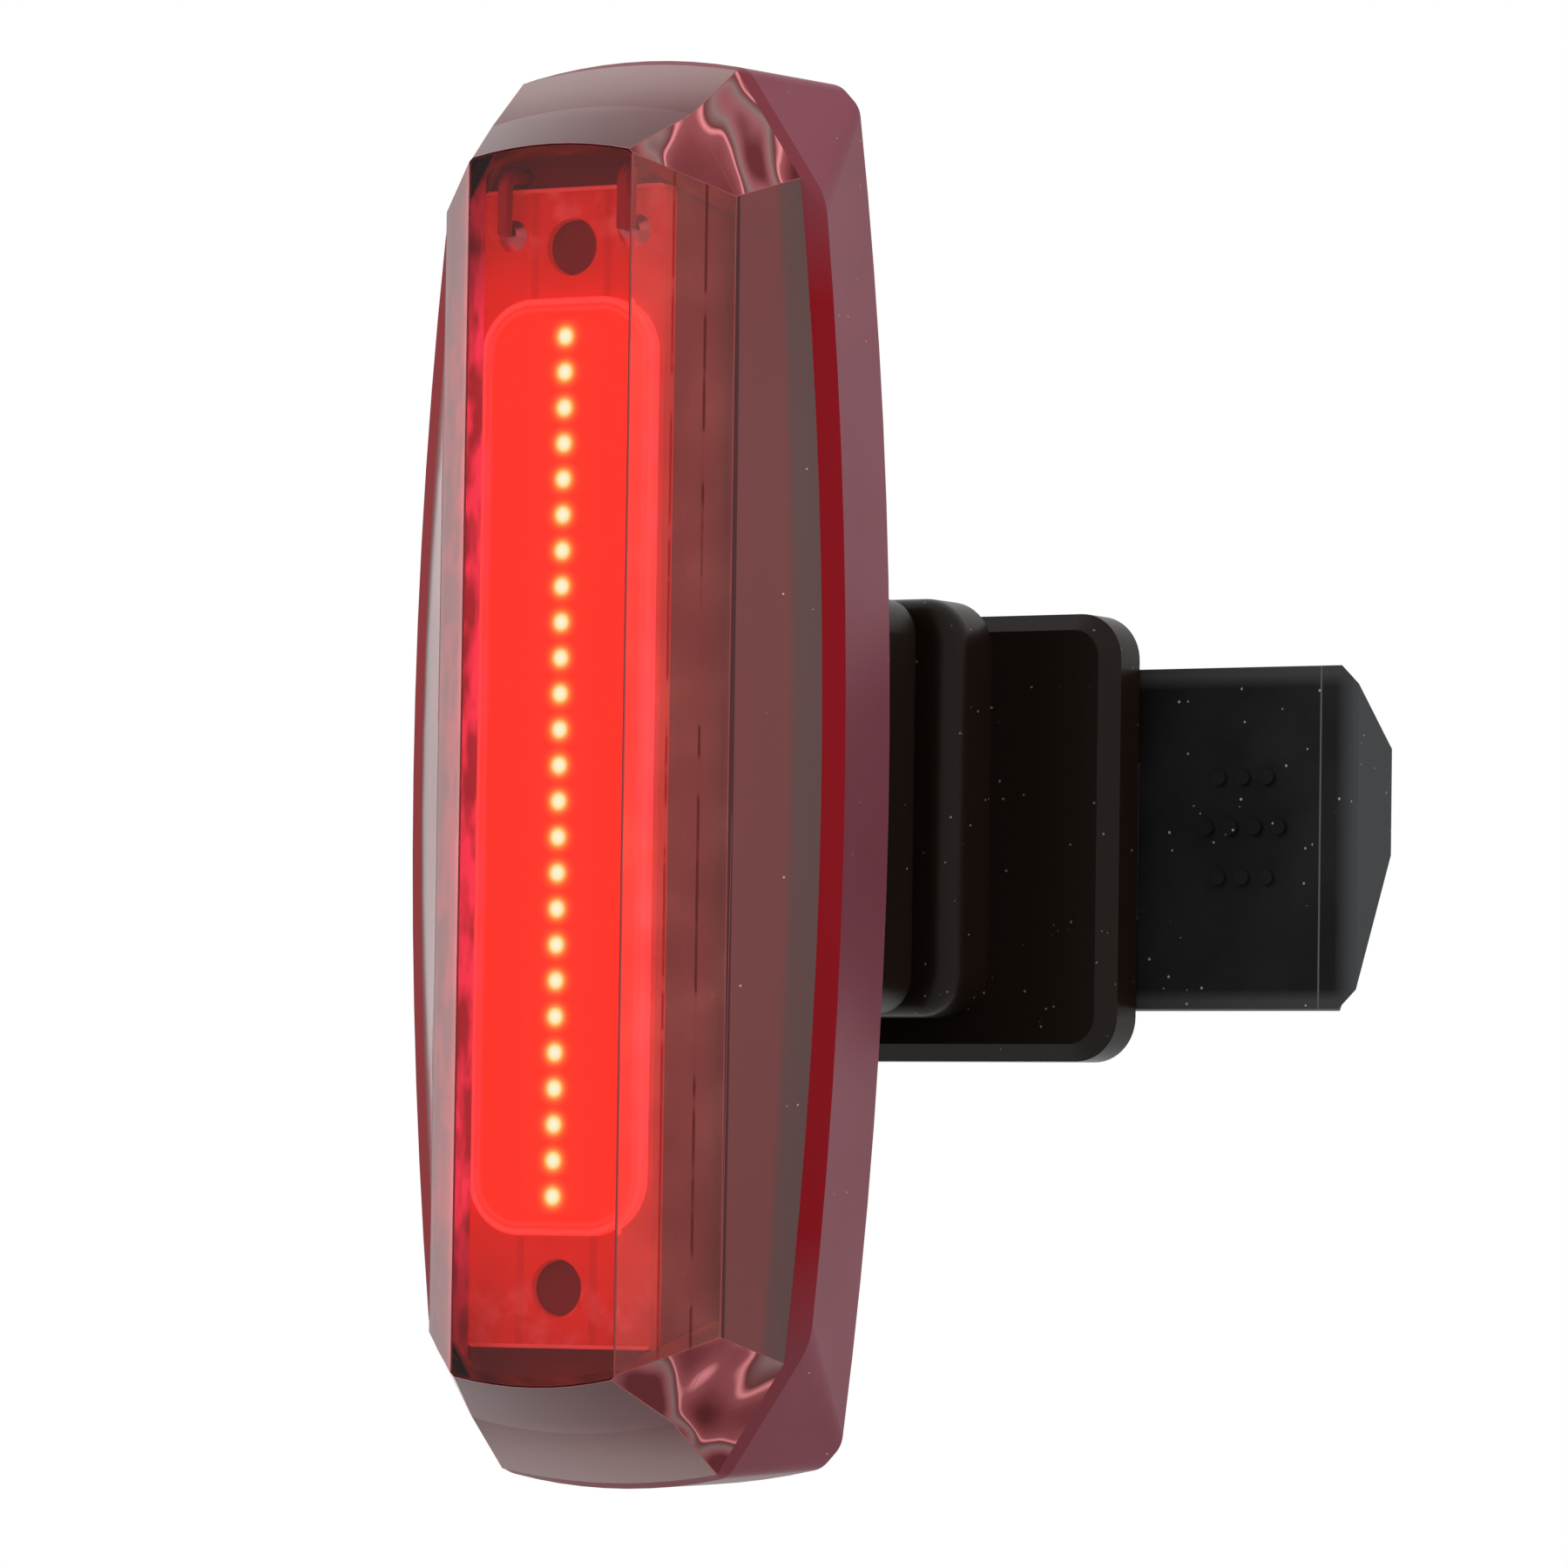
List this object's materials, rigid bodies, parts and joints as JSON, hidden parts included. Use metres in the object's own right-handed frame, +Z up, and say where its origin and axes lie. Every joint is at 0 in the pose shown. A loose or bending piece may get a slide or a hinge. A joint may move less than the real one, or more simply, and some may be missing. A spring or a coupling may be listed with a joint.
{
  "type": "bike rear light",
  "caption": "Tall red rear light with a glowing light strip behind a faceted window, a slide-on clip and a silicone strap mount for a seatpost.",
  "frame": {"origin": "on the seatpost's axis at the middle of the strap's height", "axes": "+Z up along the seatpost and the long axis of the light, -Y the way the light shines, +X towards the pull tab"},
  "size_m": [0.0528, 0.0607, 0.0746],
  "materials": {
    "window": "clear dark red, glossy",
    "seal": "deep red silicone",
    "rim": "burgundy satin",
    "board": "red solder mask",
    "strip": "glowing silicone",
    "die": "lit",
    "solder": "bright solder",
    "wire": "red insulation",
    "frame": "dark moulded plastic",
    "cell": "foil pouch",
    "foam": "black foam",
    "circuit": "green solder mask",
    "chip": "black package",
    "switch": "pressed steel",
    "cover": "black moulded plastic",
    "rubber": "matt black rubber",
    "pipe": "frosted clear",
    "bracket": "black nylon, satin",
    "strap": "black silicone, dusty",
    "steel": "stainless steel"
  },
  "bodies": {
    "bracket": {"bracket_base": "bracket", "bracket_receiver": "bracket", "bracket_screws": "steel", "saddle_pad": "rubber", "strap_pin": "steel"},
    "head": {"lens": "window", "seal_ring": "seal", "rim_housing": "rim", "light_board": "board", "light_strip": "strip", "led_dies": "die", "solder_joints": "solder", "lead_wires": "wire", "inner_frame": "frame", "battery": "cell", "battery_foam": "foam", "battery_leads": "wire", "control_board": "circuit", "driver_chips": "chip", "tactile_switch": "switch", "usb_socket": "steel", "indicator_pipe": "pipe", "rear_cover": "cover", "cover_screws": "steel", "rear_clip": "bracket", "clip_screws": "steel"},
    "button": {"power_button": "rubber", "switch_plunger": "chip"},
    "flap": {"usb_flap": "rubber"},
    "strap": {"strap": "strap"}
  },
  "joints": [
    {"name": "head_lift", "type": "slide", "parent": "bracket", "child": "head", "axis": [0, 0, 1], "range_m": [0, 0.021]},
    {"name": "strap_swing", "type": "hinge", "parent": "bracket", "child": "strap", "pos_m": [-0.017, -0.0135, 0], "axis": [0, 0, 1], "range_deg": [0, 95]},
    {"name": "button_press", "type": "slide", "parent": "head", "child": "button", "axis": [0, -1, 0], "range_m": [0, 0.0006], "stiffness_N_per_m": 800},
    {"name": "flap_open", "type": "hinge", "parent": "head", "child": "flap", "pos_m": [0, -0.02788, 0.01735], "axis": [-1, 0, 0], "range_deg": [0, 105], "stiffness_Nm_per_rad": 0.0004}
  ]
}
